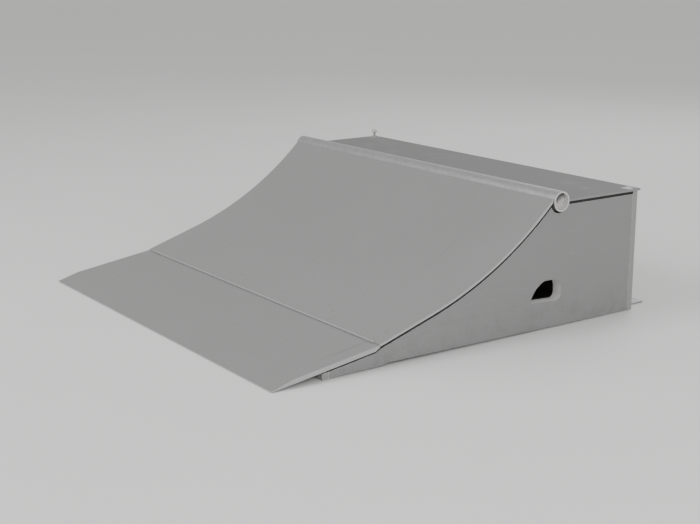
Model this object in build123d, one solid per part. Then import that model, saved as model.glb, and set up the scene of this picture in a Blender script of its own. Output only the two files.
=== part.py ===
"""Portable quarter-pipe ramp with a hinged approach plate that folds up onto the riding face.

Millimetres.  +X is the ramp's right-hand side seen by a rider going up it, +Y points to the
rear, +Z is up.  The geometry is drawn with Y = 0 on the rear face of the rear board, and
save() moves it so that the origin is the middle of the footprint, at floor level.
"""
import os
from math import asin, cos, degrees, radians, sin, tan

from build123d import *

# ---------------------------------------------------------------- driving dimensions
WIDTH = 1220.0            # riding sheet, deck sheet and approach plate, side to side
OVERHANG = 4.0            # sheets stand this far out over the side panels
DECK_TOP = 345.7
FLOOR_GAP = 1.0           # timber stays this far off the floor, the rubber feet touch it

# riding face: a straight run, then an arc of constant radius, slope growing towards the rear
RUN_SLOPE = radians(17.76)
RUN_END_Y = -721.8        # where the arc begins
RUN_END_Z = 111.5
ARC_RADIUS = 1018.8
ARC_TOP_Y = -313.0        # the sheets are drawn to here, then trimmed by the coping

# layers under the riding face
SHEET = 6.0
SUBSTRATE = 9.0
DECK_BOARD = 12.0
PANEL_GAP = 8.5           # between the sheets and the side panels' top edge, closed by a rubber strip
STRIP_INSET = 0.5         # the strip stands this far in from the panel's outer face
DECK_REAR = 6.0           # the deck sheet stands out this far over the rear board

# hinge of the approach plate: its leaves stand between the plate's rear end and the hinge rail
HINGE_Y = -882.0
HINGE_DROP = 1.0          # pin centre below the riding face
BARREL_R = 3.0
PIN_R = 1.5
PIN_CLEARANCE = 0.05
LEAF = 1.5
LEAF_GAP = 0.2            # from the pin centre out to the face of either leaf
LEAF_ROOT = 3.4           # below the pin, where a leaf is clear of the other one's knuckles
LEAF_REACH = 12.8         # lower edge of both leaves, below the pin
NOSE = 3.4                # sheet and plate end this far from the pin, clear of the barrel
EAR = 0.5                 # and this far from it outside the ends of the barrel
KNUCKLE = 58.6
KNUCKLE_GAP = 0.4
KNUCKLES = 20

# approach plate
PLATE_SLOPE = radians(8.41)
PLATE_DROP = 1.5          # top of the plate below the pin
PLATE = 12.0
PLATE_TIP = 313.0         # from the pin centre
PLATE_BEVEL = 65.0
PLATE_TIP_EDGE = 3.0
EAR_RELIEF = 14.0         # the ears are cut away below, to pass over the side panels' shoulders

# side panels and what stands under the approach plate
PANEL = 18.0
TOE_Y = -1029.0           # front end of the side panels' tongues
SLEEPER = 18.0
PAD = 3.0                 # rubber feet
STRIP = 5.0               # rubber strip on the tongues, which the plate comes down on
STRIP_CLEARANCE = 0.3
TONGUE_END_Y = -897.0
SHOULDER_END = 8.0        # the shoulder between tongue and run ends this far behind the pin
RELIEF_Y = -850.0         # the lower edge rises to here, so the panel bears at toe and rear
RELIEF_Z = 7.5

# coping
COPING_R = 27.0
COPING_WALL = 4.0
COPING_Y = -295.0
COPING_Z = 343.0
PLUG_DEPTH = 10.0         # the end plugs' faces stand this far inside the tube
COPING_OVERHANG = 4.0
COPING_CLEARANCE = 1.5

# timber
BOARD = 18.0
STUD = 38.0
STUD_DEPTH = 63.0
JOIST_Y = (-740.0, -655.0, -570.0, -485.0, -385.0)
RIB_X = (-300.0, 0.0, 300.0)

# hand hole
HOLE_REAR = -279.0
HOLE_FRONT = -386.0
HOLE_TOP = 133.0
HOLE_BOTTOM = 75.0
HOLE_RIM = 2.5            # rounding of the hand hole's outer rim
DOUBLER = 12.0
DOUBLER_MARGIN = 36.0

# drop pin and its sockets
SOCKET_X = 597.0
SOCKET_Y = -9.5
SOCKET_R = 6.5
SOCKET_DEPTH = 52.0
SOCKET_PLATE = 2.5
SOCKET_PLATE_SIDE = 32.0
DROP_PIN_R = 5.0
DROP_PIN_CLEARANCE = 0.05
DROP_PIN_SHANK = 48.0
DROP_PIN_NECK = 12.0
DROP_PIN_HEAD_R = 9.0

# rear anchor brackets
BRACKET_X = 514.0
BRACKET_WIDTH = 120.0
BRACKET_FOOT = 84.0
BRACKET_HEIGHT = 60.0
BRACKET_THICK = 5.0
ANCHOR_HOLE_R = 5.5
ANCHOR_SPACING = 70.0
ANCHOR_Y = 52.0

# countersunk screws: head radius, head height, shank radius, length
SHEET_SCREW = (3.7, 2.4, 2.1, 34.0)
LEAF_SCREW = (2.6, 1.2, 1.4, 22.0)
BOARD_SCREW = (4.5, 3.0, 2.5, 45.0)
PLATE_SCREW = (3.0, 2.0, 1.6, 16.0)
SADDLE_SCREW = (4.5, 3.0, 2.5, 34.0)
SCREW_CLEARANCE = 0.15

EASE = 1.2                # rounding of exposed edges
SHEET_BEVEL = 1.0         # bevel along the riding sheet's sides

# ---------------------------------------------------------------- derived values
HALF = WIDTH / 2
PANEL_OUT = HALF - OVERHANG
PANEL_IN = PANEL_OUT - PANEL
TIMBER_DEPTH = SHEET + SUBSTRATE
PANEL_DEPTH = SHEET + PANEL_GAP
DECK_UNDER = DECK_TOP - SHEET - DECK_BOARD
ARC_CENTRE = (RUN_END_Y - ARC_RADIUS * sin(RUN_SLOPE), RUN_END_Z + ARC_RADIUS * cos(RUN_SLOPE))
RUN_UP = (-sin(RUN_SLOPE), cos(RUN_SLOPE))
HINGE_Z = RUN_END_Z + (HINGE_Y - RUN_END_Y) * tan(RUN_SLOPE) - HINGE_DROP / cos(RUN_SLOPE)
HINGE_X = KNUCKLES * KNUCKLE / 2
HINGE_END = HINGE_X + 0.6
LEAF_FACE = LEAF_GAP + LEAF
PLATE_DEPTH = PLATE_DROP + PLATE    # underside of the plate below the pin
TIP_Y = HINGE_Y - PLATE_TIP * cos(PLATE_SLOPE) + (PLATE_DEPTH - PLATE_TIP_EDGE) * sin(PLATE_SLOPE)
ORIGIN = Pos(0, -(TIP_Y + BRACKET_FOOT) / 2, 0)


# ---------------------------------------------------------------- geometry helpers
def on_run(s, depth):
    """Point on the straight run, s from the hinge pin, depth below the riding face."""
    y = HINGE_Y + HINGE_DROP * RUN_UP[0] + s * cos(RUN_SLOPE) - depth * RUN_UP[0]
    z = HINGE_Z + HINGE_DROP * RUN_UP[1] + s * sin(RUN_SLOPE) - depth * RUN_UP[1]
    return y, z


def on_plate(s, depth):
    """Point in the approach plate, s forward from the pin, depth below the pin."""
    y = HINGE_Y - s * cos(PLATE_SLOPE) + depth * sin(PLATE_SLOPE)
    z = HINGE_Z - s * sin(PLATE_SLOPE) - depth * cos(PLATE_SLOPE)
    return y, z


def under_plate(y, gap):
    """Height of the line lying gap below the plate's underside."""
    return HINGE_Z - (PLATE_DEPTH + gap) / cos(PLATE_SLOPE) - (HINGE_Y - y) * tan(PLATE_SLOPE)


def arc_angle(y, depth=0.0):
    """Slope angle of the arc where it passes y, depth below the riding face."""
    return asin((y - ARC_CENTRE[0]) / (ARC_RADIUS + depth))


def on_face(y):
    """Point of the riding face above y, and the face's slope there."""
    if y < RUN_END_Y:
        return (y, RUN_END_Z + (y - RUN_END_Y) * tan(RUN_SLOPE)), RUN_SLOPE
    slope = arc_angle(y)
    return on_arc(slope, 0), slope


def on_arc(angle, depth):
    radius = ARC_RADIUS + depth
    return ARC_CENTRE[0] + radius * sin(angle), ARC_CENTRE[1] - radius * cos(angle)


def arc_edge(start, end, depth):
    return CenterArc(ARC_CENTRE, ARC_RADIUS + depth, degrees(start) - 90, degrees(end - start))


def slab(section, x0, x1):
    """A Y-Z section pulled out from x0 to x1."""
    return Pos(x0, 0, 0) * extrude(Plane.YZ * section, x1 - x0)


def outline(*points):
    return make_face(Polyline(*points, close=True))


def block(x0, x1, y0, y1, z0, z1):
    return Pos(x0, y0, z0) * Box(x1 - x0, y1 - y0, z1 - z0, align=Align.MIN)


def along_x(radius, y, z, x0, x1):
    """Cylinder lying along X."""
    return slab(Pos(y, z) * Circle(radius), x0, x1)


def coping_space(extra):
    return along_x(COPING_R + extra, COPING_Y, COPING_Z, -HALF, HALF)


def screw(size, slack=0.0):
    """Countersunk screw along -Z with the top of its head at the origin."""
    head_r, head, shank_r, length = size
    flat = Cylinder(shank_r + slack, length, align=(Align.CENTER, Align.CENTER, Align.MAX))
    cone = Cone(shank_r + slack, head_r + slack, head, align=(Align.CENTER, Align.CENTER, Align.MAX))
    return flat + cone


def group(shapes):
    return Compound(children=[shape.solids()[0] for shape in shapes])


def drill(host, size, places):
    """Countersunk clearance holes for screws of one size."""
    for place in places:
        host -= place * screw(size, SCREW_CLEARANCE)
    return host


def single(shape):
    return shape.solids().sort_by(SortBy.VOLUME)[-1]


def ease(shape, wanted, radius=EASE):
    """Round the edges for which wanted(centre of edge) is true."""
    return fillet(shape.edges().filter_by(lambda edge: wanted(edge.center())), radius)


def on_side(centre, x):
    return abs(abs(centre.X) - x) < 0.01


def save(name, shape):
    export_step(ORIGIN * shape, f"parts/{name}.step")


# ---------------------------------------------------------------- screw places
def face_place(x, y):
    """On the riding face at x, y, with Z along the outward normal."""
    point, slope = on_face(y)
    return Pos(x, *point) * Rot(degrees(slope), 0, 0)


def sheet_places():
    rows = (HINGE_Y + 46.0,) + JOIST_Y
    return [face_place(x, y) for y in rows for x in (-575, -345, -115, 115, 345, 575)]


def fixed_leaf_places():
    spot = on_run(LEAF_GAP, HINGE_DROP + 9.5)
    return [Pos(x, *spot) * Rot(90 + degrees(RUN_SLOPE), 0, 0) for x in knuckle_middles(0)]


def flap_leaf_places():
    spot = on_plate(LEAF_GAP, PLATE_DROP + PLATE / 2)
    return [Pos(x, *spot) * Rot(degrees(PLATE_SLOPE) - 90, 0, 0) for x in knuckle_middles(1)]


def deck_places():
    front = [(x, COPING_Y + 37.0) for x in (-560, -280, 0, 280, 560)]
    middle = [(x, -150.0) for x in (-569, *RIB_X, 569)]
    rear = [(x, -45.0) for x in RIB_X]
    return [Pos(x, y, DECK_TOP) for x, y in front + middle + rear]


def rear_places():
    sides = [(side * (PANEL_OUT - PANEL / 2), z) for side in (-1, 1) for z in (40, 120, 200, 265)]
    sill = [(x, 37.0) for x in (-400, -200, 0, 200, 400)]
    joists = [(x, 292.0) for x in RIB_X]
    return [Pos(x, 0, z) * Rot(-90, 0, 0) for x, z in sides + sill + joists]


def socket_screw_places():
    inner = SOCKET_X - 17.0
    spots = [(inner, SOCKET_Y), (inner, SOCKET_Y - 17.0), (SOCKET_X + 1.0, SOCKET_Y - 17.0)]
    return [Pos(side * x, y, DECK_TOP) for side in (-1, 1) for x, y in spots]


# ---------------------------------------------------------------- skin of the ramp
def layer(top, bottom, start):
    """A sheet bent along the riding face, between two depths, from s = start to the coping."""
    end = arc_angle(ARC_TOP_Y, top)
    edges = [
        Line(on_run(start, top), on_arc(RUN_SLOPE, top)),
        arc_edge(RUN_SLOPE, end, top),
        Line(on_arc(end, top), on_arc(end, bottom)),
        arc_edge(RUN_SLOPE, end, bottom),
        Line(on_arc(RUN_SLOPE, bottom), on_run(start, bottom)),
        Line(on_run(start, bottom), on_run(start, top)),
    ]
    return make_face(edges)


def riding_sheet():
    sheet = slab(layer(0, SHEET, EAR), -HALF, HALF)
    sheet = chamfer(sheet.edges().filter_by(lambda edge: on_sheet_rim(edge.center())), SHEET_BEVEL)
    sheet = single(sheet - coping_space(COPING_CLEARANCE))
    sheet -= beside_barrel(on_run, -1, SHEET + 1)
    return drill(sheet, SHEET_SCREW, sheet_places())


def on_sheet_rim(centre):
    return on_side(centre, HALF) and abs(centre.Z - on_face(centre.Y)[0][1]) < 0.5


def beside_barrel(point, top, bottom):
    """Room for the hinge's barrel at the end of a sheet or plate, between its two ears."""
    section = outline(point(0, top), point(NOSE, top), point(NOSE, bottom), point(0, bottom))
    return slab(section, -HINGE_END, HINGE_END)


def substrate():
    ply = slab(layer(SHEET, TIMBER_DEPTH, 36.0), -PANEL_IN, PANEL_IN)
    return single(ply - coping_space(COPING_CLEARANCE))


def deck_sheet():
    front = COPING_Y + COPING_R + COPING_CLEARANCE
    sheet = block(-HALF, HALF, front, DECK_REAR, DECK_TOP - SHEET, DECK_TOP)
    sheet = ease(sheet, lambda centre: centre.Z > DECK_TOP - 0.01 and centre.Y > front + 1)
    for side in (-1, 1):
        sheet -= socket_recess(side) + socket_hole(side)
    return drill(sheet, SHEET_SCREW, deck_places())


def deck_board():
    front = COPING_Y + COPING_R - 2.0
    board = block(-PANEL_IN, PANEL_IN, front, -BOARD, DECK_UNDER, DECK_TOP - SHEET)
    return single(board - coping_space(COPING_CLEARANCE))


# ---------------------------------------------------------------- sides and rear
def hand_hole():
    front_low = (HOLE_FRONT, HOLE_BOTTOM + 11)
    front_top = (HOLE_FRONT + 47, HOLE_TOP)
    face = make_face([
        ThreePointArc(front_low, (HOLE_FRONT + 16.5, HOLE_TOP - 20.5), front_top),
        Line(front_top, (HOLE_REAR, HOLE_TOP)),
        Line((HOLE_REAR, HOLE_TOP), (HOLE_REAR, HOLE_BOTTOM - 1)),
        Line((HOLE_REAR, HOLE_BOTTOM - 1), (HOLE_FRONT, HOLE_BOTTOM + 5)),
        Line((HOLE_FRONT, HOLE_BOTTOM + 5), front_low),
    ])
    rear_top = (HOLE_REAR, HOLE_TOP)
    rear_low = (HOLE_REAR, HOLE_BOTTOM)
    low = (HOLE_FRONT, HOLE_BOTTOM)
    for point, radius in ((rear_top, 27), (rear_low, 16), (low, 6), (front_top, 10)):
        corner = face.vertices().sort_by_distance(point)[0]
        face = fillet(corner, radius)
    return face


def shoulder(start, end):
    """S-bend from a line under the plate to a line under the riding face."""
    return Spline(start, end, tangents=[
        (cos(PLATE_SLOPE), sin(PLATE_SLOPE)), (cos(RUN_SLOPE), sin(RUN_SLOPE))])


def above_tongue(y, height):
    """Point over y, height above the tongue's top edge."""
    return y, under_plate(y, STRIP + STRIP_CLEARANCE - height)


def panel_top_edges():
    """Top edge of the side panel from toe to coping, and the slope where it ends."""
    slope_top = arc_angle(COPING_Y, PANEL_DEPTH)
    tongue_end = above_tongue(TONGUE_END_Y, 0)
    run_start = on_run(SHOULDER_END, PANEL_DEPTH)
    edges = [
        Line(above_tongue(TOE_Y, 0), tongue_end),
        shoulder(tongue_end, run_start),
        Line(run_start, on_arc(RUN_SLOPE, PANEL_DEPTH)),
        arc_edge(RUN_SLOPE, slope_top, PANEL_DEPTH),
    ]
    return edges, slope_top


def panel_profile():
    """Side panel from toe to rear board, its top edge following the plate, the curve and the deck."""
    edges, slope_top = panel_top_edges()
    top = DECK_TOP - PANEL_DEPTH
    edges += [
        Line(on_arc(slope_top, PANEL_DEPTH), (COPING_Y, top)),
        Line((COPING_Y, top), (-BOARD, top)),
        Line((-BOARD, top), (-BOARD, FLOOR_GAP)),
        Line((-BOARD, FLOOR_GAP), (RELIEF_Y, RELIEF_Z)),
        Line((RELIEF_Y, RELIEF_Z), (RELIEF_Y - 28, FLOOR_GAP + 2)),
        Line((RELIEF_Y - 28, FLOOR_GAP + 2), (TOE_Y, FLOOR_GAP)),
        Line((TOE_Y, FLOOR_GAP), above_tongue(TOE_Y, 0)),
    ]
    return make_face(edges)


def edge_strip(side):
    """Rubber strip along the side panel's top edge, under the plate and the riding sheet."""
    edges, slope_top = panel_top_edges()
    step_low = on_run(SHOULDER_END, SHEET + 3)
    step_high = on_run(SHOULDER_END, SHEET)
    edges += [
        Line(on_arc(slope_top, PANEL_DEPTH), on_arc(slope_top, SHEET)),
        arc_edge(RUN_SLOPE, slope_top, SHEET),
        Line(on_arc(RUN_SLOPE, SHEET), step_high),
        Line(step_high, step_low),
        shoulder(above_tongue(TONGUE_END_Y, STRIP), step_low),
        Line(above_tongue(TONGUE_END_Y, STRIP), above_tongue(TOE_Y, STRIP)),
        Line(above_tongue(TOE_Y, STRIP), above_tongue(TOE_Y, 0)),
    ]
    strip = slab(make_face(edges), PANEL_IN, PANEL_OUT - STRIP_INSET)
    strip = single(strip - coping_space(COPING_CLEARANCE + 0.5))
    return strip if side > 0 else mirror(strip, about=Plane.YZ)


def deck_strip(side):
    """Rubber strip between the deck sheet and the side panel's top edge."""
    front = COPING_Y + COPING_R + 6.0
    strip = block(PANEL_IN, PANEL_OUT - STRIP_INSET, front, -BOARD, DECK_TOP - PANEL_DEPTH, DECK_TOP - SHEET)
    return strip if side > 0 else mirror(strip, about=Plane.YZ)


def side_panel(side):
    """side is 1 for the right panel and -1 for the left."""
    panel = slab(panel_profile() - hand_hole(), PANEL_IN, PANEL_OUT)
    notch = along_x(COPING_R + 3.2, COPING_Y - 1.5, COPING_Z - 1.8, PANEL_IN, PANEL_OUT)
    panel = single(panel - notch)
    panel = ease(panel, on_hole_rim, HOLE_RIM)
    panel = ease(panel, on_low_edge)
    return panel if side > 0 else mirror(panel, about=Plane.YZ)


def on_hole_rim(centre):
    inside = HOLE_FRONT - 2 < centre.Y < HOLE_REAR + 2 and HOLE_BOTTOM - 3 < centre.Z < HOLE_TOP + 2
    return inside and on_side(centre, PANEL_OUT)


def on_low_edge(centre):
    return on_side(centre, PANEL_OUT) and centre.Z < RELIEF_Z + 1 and centre.Y > TOE_Y + 1


def hand_hole_doubler(side):
    low = (HOLE_FRONT - DOUBLER_MARGIN, HOLE_BOTTOM - DOUBLER_MARGIN)
    high = (HOLE_REAR + DOUBLER_MARGIN, HOLE_TOP + DOUBLER_MARGIN)
    frame = outline(low, (high[0], low[1]), high, (low[0], high[1]))
    ring = slab(frame - hand_hole(), PANEL_IN - DOUBLER, PANEL_IN)
    return ring if side > 0 else mirror(ring, about=Plane.YZ)


def rear_board():
    board = block(-PANEL_OUT, PANEL_OUT, -BOARD, 0, FLOOR_GAP, DECK_TOP - SHEET)
    board = ease(board, lambda centre: centre.Y > -0.01 and centre.Z > FLOOR_GAP + 1)
    for side in (-1, 1):
        board -= socket_hole(side)
    return drill(board, BOARD_SCREW, rear_places())


# ---------------------------------------------------------------- timber inside
def foot_places():
    front = (TOE_Y - SLEEPER / 2, 400.0)
    rear = (-BOARD - STUD / 2, 500.0)
    return {
        "front_right": (front[1], front[0]), "front_left": (-front[1], front[0]),
        "rear_right": (rear[1], rear[0]), "rear_left": (-rear[1], rear[0]),
    }


def foot_pad(x, y):
    return Pos(x, y, 0) * Box(90, 12, PAD, align=(Align.CENTER, Align.CENTER, Align.MIN))


def with_pads(timber):
    for x, y in foot_places().values():
        timber -= foot_pad(x, y)
    return timber


def front_sleeper():
    front = TOE_Y - SLEEPER
    section = outline((front, FLOOR_GAP), (TOE_Y, FLOOR_GAP), above_tongue(TOE_Y, 0), above_tongue(front, 0))
    return with_pads(slab(section, -PANEL_OUT, PANEL_OUT))


def approach_rib(x):
    """Short fore-and-aft board that carries the middle of the approach plate."""
    rear = rail_front()[0]
    rear_top = (rear, above_tongue(TONGUE_END_Y, 0)[1])
    section = outline((TOE_Y, FLOOR_GAP + 2), (rear, FLOOR_GAP + 2), rear_top,
                      above_tongue(TONGUE_END_Y, 0), above_tongue(TOE_Y, 0))
    return slab(section, x - BOARD / 2, x + BOARD / 2)


def rail_front():
    """Lower edge of the hinge rail's sloped face, which the fixed leaf is screwed to."""
    return on_run(LEAF_FACE, HINGE_DROP + LEAF_REACH + 2)


def hinge_rail():
    """Cross beam behind the hinge, rebated for the end of the substrate."""
    front = rail_front()
    rear = on_run(62.0, TIMBER_DEPTH)
    section = outline(
        (front[0], FLOOR_GAP + 2), front, on_run(LEAF_FACE, SHEET), on_run(35.0, SHEET),
        on_run(35.0, TIMBER_DEPTH), rear, (rear[0], RELIEF_Z + 2), (front[0] + 20, RELIEF_Z + 2))
    return slab(section, -PANEL_IN, PANEL_IN)


def joist_seat(y):
    """On the riding face above y, with Y along the outward normal."""
    point, slope = on_face(y)
    return Pos(*point) * Rot(0, 0, degrees(slope)) * Pos(0, -TIMBER_DEPTH - STUD_DEPTH / 2)


def transition_joist(y):
    return slab(joist_seat(y) * Rectangle(STUD, STUD_DEPTH), -PANEL_IN, PANEL_IN)


def joist_cleats():
    """Steel angles that fix every joist end to the side panels, from the inside."""
    leg, thick, height = 36.0, 2.5, 40.0
    cleats = []
    for y in JOIST_Y:
        on_joist = joist_seat(y) * Pos(-STUD / 2 - thick / 2, 0) * Rectangle(thick, height)
        on_panel = joist_seat(y) * Pos(-STUD / 2 - leg / 2, 0) * Rectangle(leg, height)
        right = slab(on_joist, PANEL_IN - leg, PANEL_IN) + slab(on_panel, PANEL_IN - thick, PANEL_IN)
        cleats += [right, mirror(right, about=Plane.YZ)]
    return group(cleats)


def coping_header():
    front, rear = COPING_Y + 8, COPING_Y + 46
    beam = block(-PANEL_IN, PANEL_IN, front, rear, DECK_UNDER - 80, DECK_UNDER)
    return single(beam - coping_space(COPING_CLEARANCE))


def deck_joist(x):
    return block(x - STUD / 2, x + STUD / 2, COPING_Y + 46, -BOARD, DECK_UNDER - STUD_DEPTH, DECK_UNDER)


def deck_ledger(side):
    rail = block(PANEL_IN - STUD, PANEL_IN, COPING_Y + 46, -BOARD, DECK_UNDER - STUD, DECK_UNDER)
    return rail if side > 0 else mirror(rail, about=Plane.YZ)


def rear_sill():
    return with_pads(block(-PANEL_IN, PANEL_IN, -BOARD - STUD, -BOARD, FLOOR_GAP, STUD_DEPTH))


# ---------------------------------------------------------------- coping
def coping_tube():
    reach = HALF + COPING_OVERHANG
    tube = along_x(COPING_R, COPING_Y, COPING_Z, -reach, reach)
    tube -= along_x(COPING_R - COPING_WALL, COPING_Y, COPING_Z, -reach, reach)
    return chamfer(tube.edges().filter_by(GeomType.CIRCLE), 0.8)


def coping_plug(side):
    """Plastic insert that closes an end of the tube, hollow behind, its face dished."""
    mouth = HALF + COPING_OVERHANG - PLUG_DEPTH
    bore = COPING_R - COPING_WALL
    plug = along_x(bore, COPING_Y, COPING_Z, mouth - 18, mouth)
    plug -= along_x(bore - 3.5, COPING_Y, COPING_Z, mouth - 2.5, mouth)
    plug -= along_x(bore - 3.0, COPING_Y, COPING_Z, mouth - 18, mouth - 5)
    plug += along_x(6.0, COPING_Y, COPING_Z, mouth - 3, mouth - 1)
    return plug if side > 0 else mirror(plug, about=Plane.YZ)


def coping_saddle(x):
    """Steel tab welded under the tube and screwed to the front of the header."""
    front = COPING_Y + 8
    tab = block(x - 30, x + 30, front - 4, front, DECK_UNDER - 62, COPING_Z)
    tab = single(tab - along_x(COPING_R, COPING_Y, COPING_Z, -HALF, HALF))
    for place in saddle_places(x):
        tab -= place * screw(SADDLE_SCREW, SCREW_CLEARANCE)
    return tab


def saddle_places(x):
    front = COPING_Y + 4
    return [Pos(x + dx, front, DECK_UNDER - 45) * Rot(90, 0, 0) for dx in (-18, 18)]


# ---------------------------------------------------------------- hinge
def knuckle_span(index):
    start = -HINGE_X + index * KNUCKLE
    return start + KNUCKLE_GAP / 2, start + KNUCKLE - KNUCKLE_GAP / 2


def knuckle_middles(first):
    return [sum(knuckle_span(index)) / 2 for index in range(first, KNUCKLES, 2)]


def leaf(point, first):
    """Hinge leaf with every other knuckle; point(s, drop) is s out from the pin, drop below it."""
    bore = Pos(HINGE_Y, HINGE_Z) * Circle(PIN_R + PIN_CLEARANCE)
    ring = Pos(HINGE_Y, HINGE_Z) * Circle(BARREL_R) - bore
    neck = outline(point(LEAF_GAP, 0), point(LEAF_FACE, 0),
                   point(LEAF_FACE, LEAF_ROOT), point(LEAF_GAP, LEAF_ROOT)) - bore
    flat = outline(point(LEAF_GAP, LEAF_ROOT), point(LEAF_FACE, LEAF_ROOT),
                   point(LEAF_FACE, LEAF_REACH), point(LEAF_GAP, LEAF_REACH))
    body = slab(flat, -HINGE_X + KNUCKLE_GAP / 2, HINGE_X - KNUCKLE_GAP / 2)
    for index in range(first, KNUCKLES, 2):
        body += slab(ring + neck, *knuckle_span(index))
    return body


def hinge_leaf_fixed():
    """Leaf on the front of the hinge rail."""
    fixed = leaf(lambda s, drop: on_run(s, drop + HINGE_DROP), 0)
    return drill(fixed, LEAF_SCREW, fixed_leaf_places())


def hinge_leaf_flap():
    """Leaf on the rear end of the approach plate."""
    return drill(leaf(on_plate, 1), LEAF_SCREW, flap_leaf_places())


def hinge_pin():
    pin = along_x(PIN_R, HINGE_Y, HINGE_Z, -HINGE_X, HINGE_X)
    return chamfer(pin.edges().filter_by(GeomType.CIRCLE), 0.4)


def approach_plate():
    """Plate with a long bevel at its toe, stepped back under the hinge's barrel."""
    section = outline(
        on_plate(EAR, PLATE_DROP), on_plate(PLATE_TIP - PLATE_BEVEL, PLATE_DROP),
        on_plate(PLATE_TIP, PLATE_DEPTH - PLATE_TIP_EDGE), on_plate(PLATE_TIP, PLATE_DEPTH),
        on_plate(EAR_RELIEF, PLATE_DEPTH), on_plate(EAR, PLATE_DEPTH - PLATE / 2))
    plate = ease(slab(section, -HALF, HALF), on_long_side)
    corner = outline(on_plate(LEAF_FACE, PLATE_DROP + 1), on_plate(EAR_RELIEF, PLATE_DROP + 1),
                     on_plate(EAR_RELIEF, PLATE_DEPTH), on_plate(LEAF_FACE, PLATE_DEPTH))
    plate += slab(corner, -HINGE_END, HINGE_END)
    behind_leaf = outline(on_plate(0, LEAF_ROOT), on_plate(LEAF_FACE, LEAF_ROOT),
                          on_plate(LEAF_FACE, PLATE_DEPTH + 1), on_plate(0, PLATE_DEPTH + 1))
    plate -= slab(behind_leaf, -HINGE_END, HINGE_END)
    return plate - beside_barrel(on_plate, 0, LEAF_ROOT)


def on_long_side(centre):
    """Whether an edge's centre is on the plate's side, away from both of its ends."""
    return on_side(centre, HALF) and TIP_Y + 10 < centre.Y < HINGE_Y - 2


# ---------------------------------------------------------------- drop pin and sockets
def socket_recess(side):
    """Pocket for the flush socket plate at a rear deck corner."""
    inner = SOCKET_X - SOCKET_PLATE_SIDE + 8.0
    plate = block(inner, inner + SOCKET_PLATE_SIDE, SOCKET_Y - 24.0, SOCKET_Y + 8.0,
                  DECK_TOP - SOCKET_PLATE, DECK_TOP)
    return plate if side > 0 else mirror(plate, about=Plane.YZ)


def socket_hole(side):
    """Hole that the socket's tube stands in."""
    return Pos(side * SOCKET_X, SOCKET_Y, DECK_TOP) * Cylinder(
        SOCKET_R + 0.05, SOCKET_DEPTH + 1, align=(Align.CENTER, Align.CENTER, Align.MAX))


def pin_socket(side):
    tube = Pos(side * SOCKET_X, SOCKET_Y, DECK_TOP) * Cylinder(
        SOCKET_R, SOCKET_DEPTH, align=(Align.CENTER, Align.CENTER, Align.MAX))
    bore = Pos(side * SOCKET_X, SOCKET_Y, DECK_TOP) * Cylinder(
        DROP_PIN_R + DROP_PIN_CLEARANCE, SOCKET_DEPTH, align=(Align.CENTER, Align.CENTER, Align.MAX))
    return drill(socket_recess(side) + tube - bore, PLATE_SCREW, socket_screw_places())


def drop_pin():
    """Turned pin: shank, collar that sits on the socket plate, neck and rounded head."""
    collar = 3.0
    shank = Cylinder(DROP_PIN_R, DROP_PIN_SHANK, align=(Align.CENTER, Align.CENTER, Align.MAX))
    shank = chamfer(shank.edges().sort_by(Axis.Z)[0], 1.5)
    ring = Cylinder(DROP_PIN_R + 3, collar, align=(Align.CENTER, Align.CENTER, Align.MIN))
    neck = Cylinder(DROP_PIN_R - 0.5, collar + DROP_PIN_NECK, align=(Align.CENTER, Align.CENTER, Align.MIN))
    head = Pos(0, 0, collar + DROP_PIN_NECK) * Cylinder(DROP_PIN_HEAD_R, 10, align=(
        Align.CENTER, Align.CENTER, Align.MIN))
    head = fillet(head.edges().sort_by(Axis.Z)[-1], 7.0)
    head = fillet(head.edges().sort_by(Axis.Z)[0], 2.0)
    return Pos(-SOCKET_X, SOCKET_Y, DECK_TOP) * (shank + ring + neck + head)


# ---------------------------------------------------------------- anchor brackets
def anchor_bracket(side):
    centre = side * BRACKET_X
    half = BRACKET_WIDTH / 2
    foot = block(centre - half, centre + half, 0, BRACKET_FOOT, 0, BRACKET_THICK)
    back = block(centre - half, centre + half, 0, BRACKET_THICK, 0, BRACKET_HEIGHT)
    bracket = foot + back
    for dx in (-ANCHOR_SPACING / 2, ANCHOR_SPACING / 2):
        bracket -= Pos(centre + dx, ANCHOR_Y, 0) * Cylinder(ANCHOR_HOLE_R, 3 * BRACKET_THICK)
        bracket -= Pos(centre + dx, 0, 38) * Rot(90, 0, 0) * Cylinder(4.2, 3 * BRACKET_THICK)
    corners = bracket.edges().filter_by(Axis.Z).filter_by(lambda edge: edge.center().Y > BRACKET_THICK + 70)
    return fillet(corners, 6.0)


def bracket_bolt(x):
    """Hexagon bolt through the bracket, the rear board and the sill."""
    shank = Cylinder(4.0, 40, align=(Align.CENTER, Align.CENTER, Align.MAX))
    head = extrude(RegularPolygon(7.5, 6), 5.3)
    return Pos(x, BRACKET_THICK, 38) * Rot(-90, 0, 0) * (shank + head)


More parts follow.
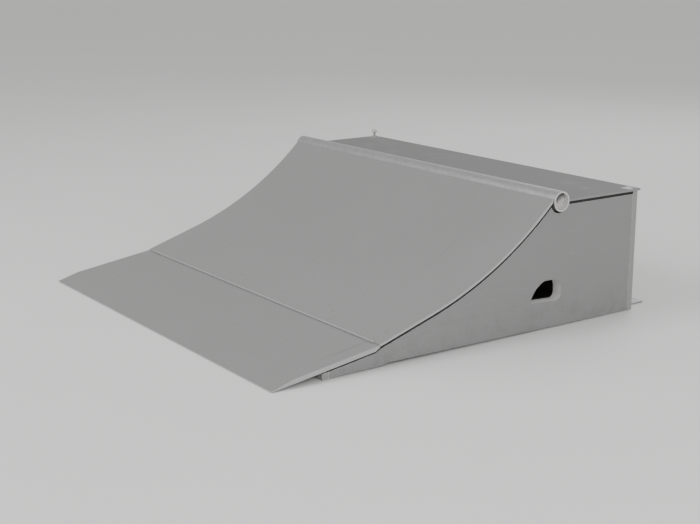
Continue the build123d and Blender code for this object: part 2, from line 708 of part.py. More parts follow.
# ---------------------------------------------------------------- all nodes
def build():
    os.makedirs("parts", exist_ok=True)
    for side, word in ((1, "right"), (-1, "left")):
        save(f"side_panel_{word}", side_panel(side))
        save(f"hand_hole_doubler_{word}", hand_hole_doubler(side))
        save(f"edge_strip_{word}", edge_strip(side))
        save(f"deck_strip_{word}", deck_strip(side))
        save(f"coping_plug_{word}", coping_plug(side))
        save(f"deck_ledger_{word}", deck_ledger(side))
        save(f"pin_socket_{word}", pin_socket(side))
        save(f"anchor_bracket_{word}", anchor_bracket(side))
    for word, (x, y) in foot_places().items():
        save(f"foot_pad_{word}", foot_pad(x, y))
    for number, x in enumerate(RIB_X, 1):
        save(f"approach_rib_{number}", approach_rib(x))
        save(f"deck_joist_{number}", deck_joist(x))
    for number, y in enumerate(JOIST_Y, 1):
        save(f"transition_joist_{number}", transition_joist(y))
    saddle_x = (-500.0, 0.0, 500.0)
    for number, x in enumerate(saddle_x, 1):
        save(f"coping_saddle_{number}", coping_saddle(x))
    for piece in (front_sleeper, hinge_rail, rear_sill, rear_board, coping_header, coping_tube,
                  substrate, riding_sheet, deck_board, deck_sheet, joist_cleats,
                  hinge_leaf_fixed, hinge_leaf_flap, hinge_pin, approach_plate, drop_pin):
        save(piece.__name__, piece())
    save("riding_sheet_screws", group(place * screw(SHEET_SCREW) for place in sheet_places()))
    save("deck_screws", group(place * screw(SHEET_SCREW) for place in deck_places()))
    save("fixed_leaf_screws", group(place * screw(LEAF_SCREW) for place in fixed_leaf_places()))
    save("flap_leaf_screws", group(place * screw(LEAF_SCREW) for place in flap_leaf_places()))
    save("rear_board_screws", group(place * screw(BOARD_SCREW) for place in rear_places()))
    save("socket_screws", group(place * screw(PLATE_SCREW) for place in socket_screw_places()))
    save("saddle_screws", group(
        place * screw(SADDLE_SCREW) for x in saddle_x for place in saddle_places(x)))
    save("bracket_bolts", group(
        bracket_bolt(side * BRACKET_X + dx) for side in (-1, 1) for dx in (-35, 35)))


build()
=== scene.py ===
"""Looks of the folding ramp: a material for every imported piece, detailed fasteners, welds, light, camera.

Metres, in the row frame: +X is the ramp's right side, +Y its rear, +Z is up.
"""
import math

import bmesh
import bpy
from mathutils import Matrix, Vector


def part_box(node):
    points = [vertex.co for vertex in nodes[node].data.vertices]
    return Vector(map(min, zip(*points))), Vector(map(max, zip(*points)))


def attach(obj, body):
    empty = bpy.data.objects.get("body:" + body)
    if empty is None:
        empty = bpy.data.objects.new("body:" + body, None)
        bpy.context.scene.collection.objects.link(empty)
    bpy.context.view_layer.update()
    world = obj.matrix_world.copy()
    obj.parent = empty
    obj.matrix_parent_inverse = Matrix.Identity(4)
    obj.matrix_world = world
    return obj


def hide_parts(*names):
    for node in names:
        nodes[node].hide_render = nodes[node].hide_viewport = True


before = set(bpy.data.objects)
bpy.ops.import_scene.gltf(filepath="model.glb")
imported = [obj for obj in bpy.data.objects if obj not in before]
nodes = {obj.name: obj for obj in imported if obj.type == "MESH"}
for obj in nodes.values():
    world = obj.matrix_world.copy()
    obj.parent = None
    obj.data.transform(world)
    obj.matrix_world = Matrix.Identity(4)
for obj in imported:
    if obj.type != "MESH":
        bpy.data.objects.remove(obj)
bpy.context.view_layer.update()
MM = 0.001

# base tones of the painted, coated and moulded faces, as linear grey
RIDING_TONE = 0.265
PLATE_TONE = 0.255
DECK_TONE = 0.205
PAINT_TONE = 0.243
# painted light: the hinge is paler than the plate so that the barrel's shaded flank doesn't read as a dark
# seam
HINGE_PAINTED_LIGHT_TONE = 0.35
# painted light: the sleeper is paler than the other paint so that its front face reads lit under the approach
# plate
SLEEPER_PAINTED_LIGHT_TONE = 0.36

TUBE_WALL = 4.0 * MM
SCREW_TURN = 0.7                  # radians from one fastener to the next, so they don't all line up
BOLT_TURN = 0.4
FLOOR_HALF = 30.0
FLOOR_DROP = 0.2 * MM             # the floor lies this far under the rubber feet
CAMERA_PLACE = (2.961, -2.085, 0.992)
CAMERA_AZIMUTH = 54.65            # degrees round from the front towards the right side
CAMERA_ELEVATION = 13.93
CAMERA_LENS = 65.7


# ---------------------------------------------------------------- shader helper
class Shader:
    """Adds nodes to one material and links them, so that a material reads as a few lines."""

    def __init__(self, name, metallic=0.0, specular=0.5):
        self.material = bpy.data.materials.new(name)
        self.material.use_nodes = True
        self.tree = self.material.node_tree
        self.bsdf = self.tree.nodes["Principled BSDF"]
        self.bsdf.inputs["Metallic"].default_value = metallic
        self.bsdf.inputs["Specular IOR Level"].default_value = specular
        coordinates = self.tree.nodes.new("ShaderNodeTexCoord")
        self.place = coordinates.outputs["Object"]
        self.own_normal = coordinates.outputs["Normal"]
        self.geometry = self.tree.nodes.new("ShaderNodeNewGeometry")

    def add(self, kind, **settings):
        node = self.tree.nodes.new(kind)
        for key, value in settings.items():
            setattr(node, key, value)
        return node

    def put(self, socket, value):
        if isinstance(value, bpy.types.NodeSocket):
            self.tree.links.new(value, socket)
        else:
            socket.default_value = value

    def math(self, operation, a, b=0.0, clamp=False):
        node = self.add("ShaderNodeMath", operation=operation, use_clamp=clamp)
        self.put(node.inputs[0], a)
        self.put(node.inputs[1], b)
        return node.outputs[0]

    def span(self, value, low, high, to_low=0.0, to_high=1.0):
        """value from low..high mapped to to_low..to_high, held at the ends."""
        node = self.add("ShaderNodeMapRange", interpolation_type="SMOOTHSTEP")
        self.put(node.inputs["Value"], value)
        for name, number in (("From Min", low), ("From Max", high), ("To Min", to_low), ("To Max", to_high)):
            node.inputs[name].default_value = number
        return node.outputs[0]

    def axis(self, letter, vector=None):
        node = self.add("ShaderNodeSeparateXYZ")
        self.put(node.inputs[0], vector or self.place)
        return node.outputs[letter]

    def stretched(self, factors, offset=(0.0, 0.0, 0.0)):
        node = self.add("ShaderNodeMapping")
        self.put(node.inputs["Vector"], self.place)
        node.inputs["Scale"].default_value = factors
        node.inputs["Location"].default_value = offset
        return node.outputs[0]

    def noise(self, scale, detail=3.0, roughness=0.5, vector=None, distortion=0.0):
        node = self.add("ShaderNodeTexNoise")
        self.put(node.inputs["Vector"], vector or self.place)
        node.inputs["Scale"].default_value = scale
        node.inputs["Detail"].default_value = detail
        node.inputs["Roughness"].default_value = roughness
        node.inputs["Distortion"].default_value = distortion
        return node.outputs["Fac"]

    def cells(self, scale, output="Distance"):
        node = self.add("ShaderNodeTexVoronoi")
        self.put(node.inputs["Vector"], self.place)
        node.inputs["Scale"].default_value = scale
        return node.outputs[output]

    def mix(self, amount, a, b):
        node = self.add("ShaderNodeMix", data_type="RGBA")
        self.put(node.inputs["Factor"], amount)
        self.put(node.inputs["A"], a if isinstance(a, bpy.types.NodeSocket) else (*a, 1.0))
        self.put(node.inputs["B"], b if isinstance(b, bpy.types.NodeSocket) else (*b, 1.0))
        return node.outputs["Result"]

    def edges(self, radius):
        """1 where the surface turns sharply within radius, which is where it wears."""
        bevel = self.add("ShaderNodeBevel", samples=4)
        bevel.inputs["Radius"].default_value = radius
        dot = self.add("ShaderNodeVectorMath", operation="DOT_PRODUCT")
        self.put(dot.inputs[0], bevel.outputs[0])
        self.put(dot.inputs[1], self.geometry.outputs["Normal"])
        return self.span(self.math("SUBTRACT", 1.0, dot.outputs["Value"]), 0.01, 0.18)

    def upright(self):
        """1 on faces that stand nearly upright when the piece lies in its rest place."""
        return self.span(self.math("ABSOLUTE", self.axis("Z", self.own_normal)), 0.62, 0.35)

    def beside(self, node, width):
        """1 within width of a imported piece's left and right sides."""
        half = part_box(node)[1].x
        return self.span(self.math("ABSOLUTE", self.axis("X")), half - 1.5 * width, half - width)

    def from_line(self, y, z):
        """Distance from a line lying along X."""
        across = self.math("SUBTRACT", self.axis("Y"), y)
        above = self.math("SUBTRACT", self.axis("Z"), z)
        squares = [self.math("MULTIPLY", value, value) for value in (across, above)]
        return self.math("SQRT", self.math("ADD", *squares))

    def bump(self, height, distance, strength=1.0, normal=None):
        node = self.add("ShaderNodeBump")
        node.inputs["Strength"].default_value = strength
        node.inputs["Distance"].default_value = distance
        self.put(node.inputs["Height"], height)
        if normal:
            self.put(node.inputs["Normal"], normal)
        return node.outputs[0]

    def finish(self, colour, roughness, normal):
        for socket, value in (("Base Color", colour), ("Roughness", roughness), ("Normal", normal)):
            self.put(self.bsdf.inputs[socket], value)
        return self.material


def grey(value, warmth=0.0):
    """A near-neutral colour, slightly warmer in red and cooler in blue as warmth grows."""
    return (value * (1 + warmth), value, value * (1 - warmth))


# ---------------------------------------------------------------- materials
def scuffs(shader, across, along, low, high):
    """Thin marks running along the riding direction."""
    lines = shader.noise(1.0, 4.0, 0.55, shader.stretched((across, along, along)), 0.3)
    patches = shader.noise(5.0, 2.0)
    return shader.math("MULTIPLY", shader.span(lines, low, high), shader.span(patches, 0.42, 0.62))


def composite(name, base, grit, scuff):
    """Hard grey sheet with a fine mottle, long faint scuffs, pale upright edges as a painted highlight and
    lighter worn edges.
    """
    shader = Shader(name, specular=0.45)
    cloud = shader.noise(3.2, 4.0, 0.6)
    fleck = shader.noise(420.0, 2.0, 0.7)
    colour = shader.mix(cloud, grey(base * 0.93, 0.004), grey(base * 1.07, -0.002))
    colour = shader.mix(shader.span(fleck, 0.35, 0.7, 0.0, 0.35), colour, grey(base * 0.78))
    light_marks = scuffs(shader, 160.0, 2.6, 0.60, 0.74)
    dark_marks = scuffs(shader, 55.0, 1.7, 0.62, 0.80)
    colour = shader.mix(shader.math("MULTIPLY", light_marks, 0.30 * scuff), colour, grey(base * 1.5))
    colour = shader.mix(shader.math("MULTIPLY", dark_marks, 0.40 * scuff), colour, grey(base * 0.45))
    # painted highlight: the upright faces, the sheet's cut edges, made pale so that they read as lit edges
    colour = shader.mix(shader.upright(), colour, shader.mix(fleck, grey(base * 1.50), grey(base * 1.80)))
    worn = shader.math("MULTIPLY", shader.edges(2.2 * MM), shader.noise(60.0, 3.0, 0.7), True)
    worn = shader.math("MULTIPLY", worn, shader.beside("riding_sheet", 5.0 * MM))
    colour = shader.mix(worn, colour, grey(base * 2.2))
    dull = shader.math("ADD", cloud, shader.math("MULTIPLY", light_marks, 0.4))
    rough = shader.span(dull, 0.3, 1.0, 0.44, 0.60)
    pits = shader.noise(900.0, 2.0, 0.6)
    fine = shader.bump(pits, 0.05 * MM * grit, 0.6)
    dents = shader.bump(light_marks, 0.06 * MM, 0.7, fine)
    return shader.finish(colour, rough, dents)


def deck_grip():
    """Deck sheet: the same grey sheet with a fine non-slip grain and foot wear."""
    shader = Shader("deck_grip", specular=0.35)
    base = DECK_TONE
    cloud = shader.noise(2.6, 4.0, 0.6)
    grain = shader.cells(520.0)
    colour = shader.mix(cloud, grey(base * 0.92), grey(base * 1.08))
    colour = shader.mix(shader.span(grain, 0.1, 0.6, 0.0, 0.4), colour, grey(base * 0.72))
    polished = shader.span(shader.noise(7.0, 3.0, 0.6), 0.52, 0.7)
    colour = shader.mix(shader.math("MULTIPLY", polished, 0.10), colour, grey(base * 1.4))
    # painted highlight: the deck sheet's upright edges made paler so that they read as lit edges
    colour = shader.mix(shader.upright(), colour, grey(base * 1.25))
    worn = shader.math("MULTIPLY", shader.edges(2.2 * MM), shader.noise(70.0, 3.0, 0.7), True)
    worn = shader.math("MULTIPLY", worn, shader.beside("deck_sheet", 5.0 * MM))
    colour = shader.mix(worn, colour, grey(base * 1.8))
    rough = shader.span(polished, 0.0, 1.0, 0.72, 0.64)
    return shader.finish(colour, rough, shader.bump(grain, 0.18 * MM, 0.8))


def painted_ply(name, thickness_axis, base=PAINT_TONE, cut_tone=1.22):
    """Roller-painted plywood: stipple, faint grain, plies showing through at cut edges."""
    shader = Shader(name, specular=0.4)
    cloud = shader.noise(2.1, 4.0, 0.6)
    grain = shader.noise(1.0, 5.0, 0.6, shader.stretched((40.0, 5.0, 130.0)), 0.8)
    colour = shader.mix(cloud, grey(base * 0.93), grey(base * 1.06))
    colour = shader.mix(shader.span(grain, 0.45, 0.75, 0.0, 0.18), colour, grey(base * 0.80))
    # cut edges: the plies run across the thickness
    facing = shader.math("ABSOLUTE", shader.axis(thickness_axis, shader.geometry.outputs["Normal"]))
    cut = shader.span(facing, 0.6, 0.3)
    colour = shader.mix(cut, colour, grey(base * cut_tone, 0.01))
    plies = shader.add("ShaderNodeTexWave", bands_direction=thickness_axis)
    plies.inputs["Scale"].default_value = 105.0
    plies.inputs["Distortion"].default_value = 0.6
    shader.put(plies.inputs["Vector"], shader.place)
    ply_line = shader.math("MULTIPLY", plies.outputs["Fac"], cut)
    colour = shader.mix(shader.math("MULTIPLY", ply_line, 0.30), colour, grey(base * 0.85, 0.03))
    # the hand hole's walls, painted light: made pale so that they read bright in the hole's shade
    low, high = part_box("hand_hole_doubler_right")
    reach = shader.from_line((low.y + high.y) / 2, (low.z + high.z) / 2)
    painted_light_in_hole = shader.math("MULTIPLY", cut, shader.span(reach, 86.0 * MM, 78.0 * MM))
    colour = shader.mix(painted_light_in_hole, colour, shader.mix(cloud, grey(0.66, 0.01), grey(0.76, 0.01)))
    # scuffs low down, and chips on corners that show primer and a little timber
    low_down = shader.span(shader.axis("Z"), 0.14, 0.0)
    dirt = shader.math("MULTIPLY", low_down, shader.span(shader.noise(26.0, 4.0, 0.65), 0.42, 0.75))
    colour = shader.mix(shader.math("MULTIPLY", dirt, 0.3), colour, grey(base * 0.6, 0.03))
    strokes = shader.noise(1.0, 4.0, 0.6, shader.stretched((20.0, 24.0, 90.0), (3.1, 0.7, 1.9)), 1.2)
    marks = shader.span(strokes, 0.66, 0.74)
    colour = shader.mix(shader.math("MULTIPLY", marks, 0.35), colour, grey(base * 1.9))
    rim = shader.edges(2.5 * MM)
    chips = shader.math("MULTIPLY", rim, shader.span(shader.noise(85.0, 4.0, 0.7), 0.40, 0.60))
    colour = shader.mix(chips, colour, grey(base * 2.3, 0.02))
    bare = shader.math("MULTIPLY", rim, shader.span(shader.noise(110.0, 3.0, 0.7), 0.66, 0.74))
    colour = shader.mix(bare, colour, (0.42, 0.37, 0.30))
    rough = shader.span(shader.math("ADD", cloud, dirt), 0.3, 1.2, 0.50, 0.72)
    stipple = shader.noise(310.0, 3.0, 0.6)
    height = shader.math("ADD", stipple, shader.math("MULTIPLY", grain, 0.8))
    height = shader.math("SUBTRACT", height, shader.math("MULTIPLY", ply_line, 1.2))
    return shader.finish(colour, rough, shader.bump(height, 0.16 * MM, 0.7))


def bare_wood(name, along, tone, ring_scale):
    """Unpainted timber or plywood with its grain along one axis."""
    shader = Shader(name, specular=0.3)
    stretch = [1.0, 1.0, 1.0]
    stretch["XYZ".index(along)] = 0.06
    lines = shader.stretched(tuple(stretch))
    rings = shader.add("ShaderNodeTexWave", wave_type="RINGS", rings_direction=along)
    rings.inputs["Scale"].default_value = ring_scale
    rings.inputs["Distortion"].default_value = 5.0
    rings.inputs["Detail"].default_value = 3.0
    shader.put(rings.inputs["Vector"], lines)
    fibre = shader.noise(260.0, 4.0, 0.7, lines)
    red, green, blue = tone
    colour = shader.mix(rings.outputs["Fac"], tone, (red * 0.72, green * 0.66, blue * 0.58))
    dark_fibre = (red * 0.6, green * 0.52, blue * 0.42)
    colour = shader.mix(shader.span(fibre, 0.4, 0.7, 0.0, 0.4), colour, dark_fibre)
    colour = shader.mix(shader.span(shader.noise(9.0, 3.0), 0.5, 0.75, 0.0, 0.3), colour, grey(0.16, 0.1))
    rough = shader.span(fibre, 0.3, 0.8, 0.62, 0.82)
    return shader.finish(colour, rough, shader.bump(fibre, 0.15 * MM, 0.8))


def galvanised():
    """Coping tube: zinc spangle, ground bright along the top by trucks and pegs, bore and cut ends pale,
    partly chalky zinc and partly painted light.
    """
    shader = Shader("galvanised_tube", metallic=1.0)
    spangle = shader.cells(95.0, output="Color")
    tone = shader.axis("X", spangle)
    colour = shader.mix(tone, grey(0.41, -0.01), grey(0.48, -0.01))
    cloud = shader.noise(14.0, 4.0, 0.65)
    colour = shader.mix(shader.span(cloud, 0.4, 0.75, 0.0, 0.3), colour, grey(0.34, 0.01))
    up = shader.axis("Z", shader.geometry.outputs["Normal"])
    lines = shader.noise(1.0, 4.0, 0.6, shader.stretched((9.0, 260.0, 260.0)))
    ground = shader.math("MULTIPLY", shader.span(up, 0.35, 0.95), shader.span(lines, 0.40, 0.62))
    colour = shader.mix(shader.math("MULTIPLY", ground, 0.5), colour, grey(0.56))
    low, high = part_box("coping_tube")
    reach = shader.from_line((low.y + high.y) / 2, (low.z + high.z) / 2)
    bore = (high.z - low.z) / 2 - TUBE_WALL
    # bore and cut ends: pale and barely metallic, partly chalky zinc, partly painted light on the tube's
    # mouth
    inside = shader.span(reach, bore + 0.6 * MM, bore + 0.1 * MM)
    cut_end = shader.span(shader.math("ABSOLUTE", shader.axis("X", shader.own_normal)), 0.5, 0.9)
    chalky_and_lit = shader.math("ADD", inside, cut_end, True)
    colour = shader.mix(chalky_and_lit, colour, shader.mix(cloud, grey(0.55), grey(0.68)))
    shader.put(shader.bsdf.inputs["Metallic"], shader.span(chalky_and_lit, 0.0, 1.0, 1.0, 0.1))
    dull = shader.span(cloud, 0.2, 0.8, 0.46, 0.62)
    rough = shader.math("SUBTRACT", dull, shader.math("MULTIPLY", ground, 0.14))
    height = shader.math("ADD", shader.math("MULTIPLY", tone, 0.2), shader.math("MULTIPLY", lines, ground))
    return shader.finish(colour, rough, shader.bump(height, 0.08 * MM, 0.7))


def zinc(name, base=0.42, brushed=(1.0, 1.0, 1.0)):
    """Zinc-plated steel: faint brushing, cloudy tone, dull where handled."""
    shader = Shader(name, metallic=1.0)
    cloud = shader.noise(38.0, 4.0, 0.6)
    lines = shader.noise(140.0, 3.0, 0.6, shader.stretched(brushed))
    colour = shader.mix(cloud, grey(base * 0.82, -0.01), grey(base * 1.12, -0.01))
    stains = shader.span(shader.noise(90.0, 3.0, 0.7), 0.60, 0.78, 0.0, 0.5)
    colour = shader.mix(stains, colour, grey(base * 0.5, 0.03))
    colour = shader.mix(shader.edges(1.2 * MM), colour, grey(base * 1.5))
    rough = shader.span(shader.math("ADD", cloud, shader.math("MULTIPLY", lines, 0.5)), 0.4, 1.1, 0.34, 0.56)
    return shader.finish(colour, rough, shader.bump(lines, 0.05 * MM, 0.6))


def coated_hinge():
    """Hinge leaves under grey powder coat, paler than the plate as painted light on the barrel's shaded
    flank, rubbed lighter on the knuckles' crowns.
    """
    shader = Shader("coated_hinge", specular=0.35)
    base = HINGE_PAINTED_LIGHT_TONE
    peel = shader.noise(500.0, 2.0, 0.6)
    cloud = shader.noise(8.0, 3.0, 0.6)
    colour = shader.mix(cloud, grey(base * 0.92), grey(base * 1.08))
    rub = shader.math("MULTIPLY", shader.edges(0.8 * MM), shader.noise(120.0, 3.0, 0.7), True)
    colour = shader.mix(rub, colour, grey(0.42))
    grime = shader.span(shader.noise(55.0, 4.0, 0.7), 0.58, 0.8, 0.0, 0.35)
    colour = shader.mix(grime, colour, grey(base * 0.55, 0.03))
    rough = shader.span(cloud, 0.3, 0.7, 0.48, 0.60)
    return shader.finish(colour, rough, shader.bump(peel, 0.06 * MM, 0.6))


def moulded_plug():
    """Injection-moulded insert: fine spark texture, near-black as painted shade inside the tube's mouth, pale
    low in the dish as painted light with a dusty mottle.
    """
    shader = Shader("moulded_plug", specular=0.4)
    cloud = shader.noise(45.0, 3.0, 0.6)
    low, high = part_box("coping_plug_right")
    # painted light and shade: pale low in the dish with a dusty mottle, near-black above, standing in for the
    # light and shade inside the tube's mouth
    height_across_dish = shader.math("SUBTRACT", shader.axis("Z"), shader.math("MULTIPLY", shader.axis("Y"), 0.5))
    middle = (low.z + high.z) / 2 - (low.y + high.y) / 4
    painted_light_low = shader.span(height_across_dish, middle + 13.0 * MM, middle - 9.0 * MM)
    dust = shader.math("MULTIPLY", painted_light_low, shader.span(shader.noise(130.0, 4.0, 0.7), 0.2, 0.6, 0.6, 1.0))
    colour = shader.mix(cloud, grey(0.07), grey(0.10))
    colour = shader.mix(dust, colour, grey(0.52, 0.02))
    rough = shader.span(cloud, 0.3, 0.7, 0.42, 0.56)
    return shader.finish(colour, rough, shader.bump(shader.noise(900.0, 2.0, 0.6), 0.05 * MM, 0.6))


def turned_steel():
    """Drop pin: lathe rings round its axis."""
    shader = Shader("turned_steel", metallic=1.0)
    rings = shader.noise(1.0, 2.0, 0.5, shader.stretched((1.0, 1.0, 2600.0)))
    cloud = shader.noise(60.0, 3.0, 0.6)
    colour = shader.mix(cloud, grey(0.44), grey(0.60))
    colour = shader.mix(shader.edges(1.0 * MM), colour, grey(0.72))
    rough = shader.span(cloud, 0.3, 0.7, 0.26, 0.42)
    return shader.finish(colour, rough, shader.bump(rings, 0.03 * MM, 0.6))


def rubber():
    shader = Shader("black_rubber", specular=0.3)
    dust = shader.noise(70.0, 4.0, 0.65)
    colour = shader.mix(shader.span(dust, 0.45, 0.75), grey(0.022), grey(0.055, 0.02))
    return shader.finish(colour, shader.span(dust, 0.3, 0.8, 0.72, 0.90), shader.bump(dust, 0.1 * MM, 0.6))


def screw_steel(name, base):
    """Coated screw heads: slightly mottled, bright on the rims."""
    shader = Shader(name, metallic=1.0)
    cloud = shader.noise(300.0, 3.0, 0.6)
    colour = shader.mix(cloud, grey(base * 0.8), grey(base * 1.2))
    colour = shader.mix(shader.edges(0.5 * MM), colour, grey(base * 1.8))
    return shader.finish(colour, shader.span(cloud, 0.3, 0.7, 0.36, 0.52), shader.bump(cloud, 0.04 * MM, 0.6))


def painted_heads():
    """Screw heads coated in the sheet's grey, a little rubbed on their rims."""
    shader = Shader("painted_screw_heads", specular=0.35)
    cloud = shader.noise(300.0, 3.0, 0.6)
    colour = shader.mix(cloud, grey(0.242), grey(0.262))
    colour = shader.mix(shader.edges(0.3 * MM), colour, grey(0.27))
    rough = shader.span(cloud, 0.3, 0.7, 0.50, 0.62)
    return shader.finish(colour, rough, shader.bump(cloud, 0.03 * MM, 0.5))


def floor_material():
    shader = Shader("studio_floor", specular=0.2)
    cloud = shader.noise(1.3, 3.0, 0.5)
    colour = shader.mix(cloud, grey(0.78, 0.004), grey(0.82, 0.004))
    rough = shader.span(cloud, 0.3, 0.7, 0.66, 0.76)
    return shader.finish(colour, rough, shader.bump(shader.noise(240.0), 0.05 * MM, 0.4))


def dress(material, *names):
    """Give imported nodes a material.  A name ending in * stands for every node that begins so."""
    for name in names:
        matches = [n for n in nodes if n.startswith(name[:-1])] if name.endswith("*") else [name]
        for match in matches:
            mesh = nodes[match].data
            mesh.materials.clear()
            mesh.materials.append(material)


def dress_all():
    dress(composite("riding_composite", RIDING_TONE, 1.0, 1.0), "riding_sheet")
    dress(composite("plate_composite", PLATE_TONE, 1.5, 1.3), "approach_plate")
    dress(deck_grip(), "deck_sheet")
    dress(painted_ply("painted_side", "X"), "side_panel_*", "hand_hole_doubler_*")
    dress(painted_ply("painted_rear", "Y"), "rear_board")
    # painted light: sleeper painted paler so its front face reads lit in the plate's shade, its cut ends
    # toned back down to match the sides
    dress(painted_ply("sleeper_paint_with_painted_light", "Y", SLEEPER_PAINTED_LIGHT_TONE, 0.74), "front_sleeper")
    dress(bare_wood("birch_ply", "X", (0.60, 0.46, 0.30), 60.0), "substrate", "deck_board", "approach_rib_*")
    dress(bare_wood("stud_across", "X", (0.62, 0.46, 0.27), 34.0),
          "transition_joist_*", "hinge_rail", "coping_header", "rear_sill")
    dress(bare_wood("stud_along", "Y", (0.62, 0.46, 0.27), 34.0), "deck_joist_*", "deck_ledger_*")
    dress(galvanised(), "coping_tube")
    dress(zinc("zinc_plate", 0.42, (0.2, 1.0, 1.0)),
          "anchor_bracket_*", "coping_saddle_*", "joist_cleats", "pin_socket_*")
    dress(coated_hinge(), "hinge_leaf_fixed", "hinge_leaf_flap")
    dress(zinc("zinc_pin", 0.46, (0.1, 1.0, 1.0)), "hinge_pin")
    dress(turned_steel(), "drop_pin")
    dress(moulded_plug(), "coping_plug_*")
    # black rubber: the feet, and the edge and deck strips, whose black also stands in as painted shade for
    # the dark gaps under the sheets' edges
    dress(rubber(), "foot_pad_*", "edge_strip_*", "deck_strip_*")


# ---------------------------------------------------------------- detailed fasteners
def mesh_object(name, mesh_data, material):
    mesh = bpy.data.meshes.new(name)
    mesh_data.to_mesh(mesh)
    mesh_data.free()
    mesh.materials.append(material)
    piece = bpy.data.objects.new(name, mesh)
    bpy.context.scene.collection.objects.link(piece)
    return piece


def islands(node):
    """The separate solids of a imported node, as lists of points."""
    work = bmesh.new()
    work.from_mesh(nodes[node].data)
    bmesh.ops.remove_doubles(work, verts=work.verts, dist=0.01 * MM)
    left = set(work.verts)
    found = []
    while left:
        queue = [left.pop()]
        points = []
        while queue:
            vert = queue.pop()
            points.append(vert.co.copy())
            for edge in vert.link_edges:
                other = edge.other_vert(vert)
                if other in left:
                    left.discard(other)
                    queue.append(other)
        found.append(points)
    work.free()
    return sorted(found, key=lambda pts: tuple(round(c, 5) for c in sum(pts, Vector()) / len(pts)))


def long_axis(points):
    """Direction in which a fastener is longest, by repeated multiplication with its covariance."""
    centre = sum(points, Vector()) / len(points)
    axis = Vector((0.31, 0.57, 0.76))
    for _ in range(40):
        axis = sum(((p - centre) * (p - centre).dot(axis) for p in points), Vector()).normalized()
    return centre, axis


def fastener_seat(points):
    """Matrix standing a fastener's head at z = 0, its shank down -Z; also its head radius and length."""
    centre, axis = long_axis(points)
    heights = [(p - centre).dot(axis) for p in points]
    ends = []
    for sign in (1, -1):
        top = max(sign * h for h in heights)
        rim = [p for p, h in zip(points, heights) if top - sign * h < 0.3 * MM]
        middle = centre + axis * sign * top
        reach = max(((p - middle) - axis * (p - middle).dot(axis)).length for p in rim)
        ends.append((reach, sign, middle))
    radius, sign, middle = max(ends, key=lambda end: end[0])
    up = axis * sign
    side = up.orthogonal().normalized()
    basis = Matrix((side, up.cross(side), up)).transposed().to_4x4()
    return Matrix.Translation(middle) @ basis, radius, max(heights) - min(heights)


def ring(work, points, seat):
    return [work.verts.new(seat @ Vector(p)) for p in points]


def bridge(work, lower, upper):
    count = len(lower)
    for i in range(count):
        j = (i + 1) % count
        work.faces.new((lower[i], lower[j], upper[j], upper[i]))


def circle(radius, z, count, lobes=0, depth=0.0, phase=0.0):
    """Ring of points, with the radius waving in and out when it has lobes."""
    points = []
    for i in range(count):
        angle = math.tau * i / count
        r = radius * (1 + depth * math.cos(lobes * angle))
        points.append((r * math.cos(angle + phase), r * math.sin(angle + phase), z))
    return points


def add_screw(work, seat, radius, length, phase):
    """Countersunk wood screw with a six-lobe recess, a cone head and a pointed shank."""
    count = 36
    head = radius * 0.62
    shank = radius * 0.54
    profile = [
        circle(radius * 0.96, 0.0, count, phase=phase), circle(radius, -0.12 * MM, count, phase=phase),
        circle(radius * 0.97, -0.35 * MM, count, phase=phase), circle(shank, -head, count, phase=phase),
        circle(shank, -length * 0.86, count, phase=phase), circle(shank * 0.25, -length, count, phase=phase)]
    recess = [circle(radius * r, z, count, 6, 0.17, phase)
              for r, z in ((0.40, 0.0), (0.38, -0.15 * MM), (0.36, -radius * 0.3))]
    rings = [ring(work, points, seat) for points in recess[::-1] + profile]
    for upper, lower in zip(rings, rings[1:]):
        bridge(work, upper, lower)
    work.faces.new(rings[0][::-1])
    work.faces.new(rings[-1])


def add_hex_bolt(work, seat, radius, length, phase):
    """Hexagon bolt with its head chamfered above and below."""
    flats = radius * 0.94
    head = 5.3 * MM
    shank = 4.0 * MM
    count = 48

    def hexagon(scale, z):
        points = []
        for i in range(count):
            angle = math.tau * i / count
            from_flat = (angle % (math.tau / 6)) - math.tau / 12
            r = min(flats / math.cos(from_flat) * math.cos(math.tau / 12), scale)
            points.append((r * math.cos(angle + phase), r * math.sin(angle + phase), z))
        return points

    rings = [
        circle(flats * 0.55, -0.35 * MM, count, phase=phase), circle(flats * 0.60, 0.0, count, phase=phase),
        circle(flats * 0.84, 0.0, count, phase=phase), hexagon(flats * 0.93, -0.4 * MM),
        hexagon(flats, -1.0 * MM), hexagon(flats, -head + 0.2 * MM),
        circle(flats * 0.84, -head, count, phase=phase), circle(shank, -head, count, phase=phase),
        circle(shank, -length, count, phase=phase)]
    placed = [ring(work, points, seat) for points in rings]
    for upper, lower in zip(placed, placed[1:]):
        bridge(work, upper, lower)
    work.faces.new(placed[0][::-1])
    work.faces.new(placed[-1])


def detailed(node, body, material, add_one, turn):
    """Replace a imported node's fasteners by detailed ones, each turned on its axis by turn from the last."""
    work = bmesh.new()
    for number, points in enumerate(islands(node)):
        seat, radius, length = fastener_seat(points)
        add_one(work, seat, radius, length, turn * number)
    bmesh.ops.recalc_face_normals(work, faces=work.faces)
    piece = mesh_object(node + "_detail", work, material)
    smooth_by_angle(piece)
    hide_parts(node)
    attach(piece, body)


def smooth_by_angle(piece, angle=math.radians(32)):
    for polygon in piece.data.polygons:
        polygon.use_smooth = True
    piece.data.set_sharp_from_angle(angle=angle)


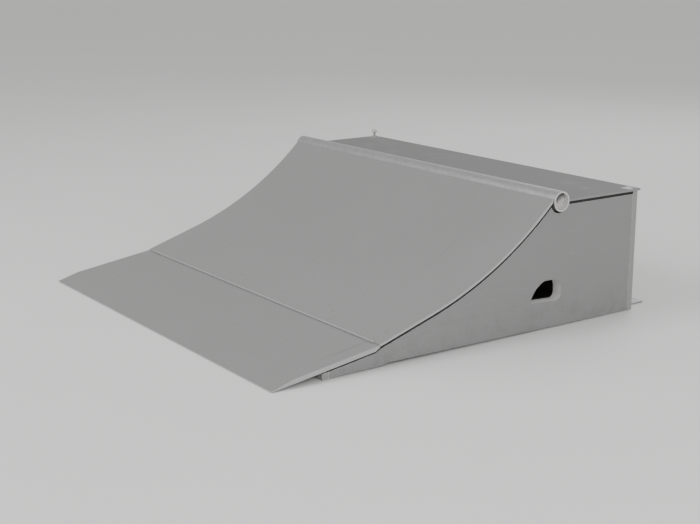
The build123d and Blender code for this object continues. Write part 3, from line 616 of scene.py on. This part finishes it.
def weld_beads(material):
    """Rippled fillet welds along both sides of each saddle where it meets the coping tube."""
    tube_low, tube_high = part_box("coping_tube")
    radius = (tube_high.z - tube_low.z) / 2
    centre = (tube_low + tube_high) / 2
    for node in sorted(n for n in nodes if n.startswith("coping_saddle_")):
        low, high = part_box(node)
        for side, face_y in ((-1, low.y), (1, high.y)):
            drop = math.sqrt(radius ** 2 - (face_y - centre.y) ** 2)
            work = bmesh.new()
            previous = None
            steps = 60
            around = 10
            for i in range(steps + 1):
                x = low.x + (high.x - low.x) * i / steps
                taper = min(1.0, 4.0 * min(i, steps - i) / steps + 0.35)
                r = 2.1 * MM * taper * (1 + 0.12 * math.sin(i * math.tau / 3.0))
                loop = []
                for k in range(around):
                    angle = math.tau * k / around
                    offset = Vector((x, face_y + side * 0.6 * MM + r * math.cos(angle),
                                     centre.z - drop - 0.4 * MM + r * math.sin(angle)))
                    loop.append(work.verts.new(offset))
                if previous:
                    bridge(work, previous, loop)
                else:
                    work.faces.new(loop[::-1])
                previous = loop
            work.faces.new(previous)
            bmesh.ops.recalc_face_normals(work, faces=work.faces)
            piece = mesh_object(f"weld_{node}_{'rear' if side > 0 else 'front'}", work, material)
            smooth_by_angle(piece)
            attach(piece, "main_frame")


def details():
    coated = painted_heads()
    zinc_heads = screw_steel("zinc_screw_heads", 0.46)
    for node in ("riding_sheet_screws", "deck_screws"):
        detailed(node, "main_frame", coated, add_screw, SCREW_TURN)
    detailed("flap_leaf_screws", "approach_flap", zinc_heads, add_screw, SCREW_TURN)
    for node in ("fixed_leaf_screws", "rear_board_screws", "socket_screws", "saddle_screws"):
        detailed(node, "main_frame", zinc_heads, add_screw, SCREW_TURN)
    detailed("bracket_bolts", "main_frame", zinc_heads, add_hex_bolt, BOLT_TURN)
    weld_beads(zinc("weld_steel", 0.36))


# ---------------------------------------------------------------- floor, light and camera
def studio():
    floor = bpy.data.meshes.new("floor")
    corners = [(x * FLOOR_HALF, y * FLOOR_HALF, -FLOOR_DROP) for x, y in ((-1, -1), (1, -1), (1, 1), (-1, 1))]
    floor.from_pydata(corners, [], [(0, 1, 2, 3)])
    ground = bpy.data.objects.new("floor", floor)
    bpy.context.scene.collection.objects.link(ground)
    floor.materials.append(floor_material())
    world = bpy.data.worlds.new("studio")
    bpy.context.scene.world = world
    world.use_nodes = True
    background = world.node_tree.nodes["Background"]
    background.inputs["Color"].default_value = (1.0, 0.995, 0.985, 1.0)
    background.inputs["Strength"].default_value = 0.66


def area_light(name, place, target, size, power):
    light = bpy.data.lights.new(name, "AREA")
    light.shape = "DISK"
    light.size = size
    light.energy = power
    holder = bpy.data.objects.new(name, light)
    bpy.context.scene.collection.objects.link(holder)
    holder.location = place
    holder.rotation_euler = (Vector(target) - Vector(place)).to_track_quat("-Z", "Y").to_euler()


def camera():
    """Seen from the front right and well above the deck, from a little under four metres."""
    data = bpy.data.cameras.new("camera")
    data.sensor_width = 36.0
    data.lens = CAMERA_LENS
    holder = bpy.data.objects.new("camera", data)
    bpy.context.scene.collection.objects.link(holder)
    holder.location = CAMERA_PLACE
    holder.rotation_euler = (math.radians(90 - CAMERA_ELEVATION), 0.0, math.radians(CAMERA_AZIMUTH))
    bpy.context.scene.camera = holder


dress_all()
details()
studio()
area_light("key", (-0.6, -4.2, 3.4), (0, 0, 0.15), 2.6, 130.0)
area_light("fill", (4.2, -0.6, 2.0), (0, 0, 0.15), 3.0, 75.0)
area_light("back", (-1.5, 3.6, 3.2), (0, 0, 0.2), 2.4, 45.0)
camera()
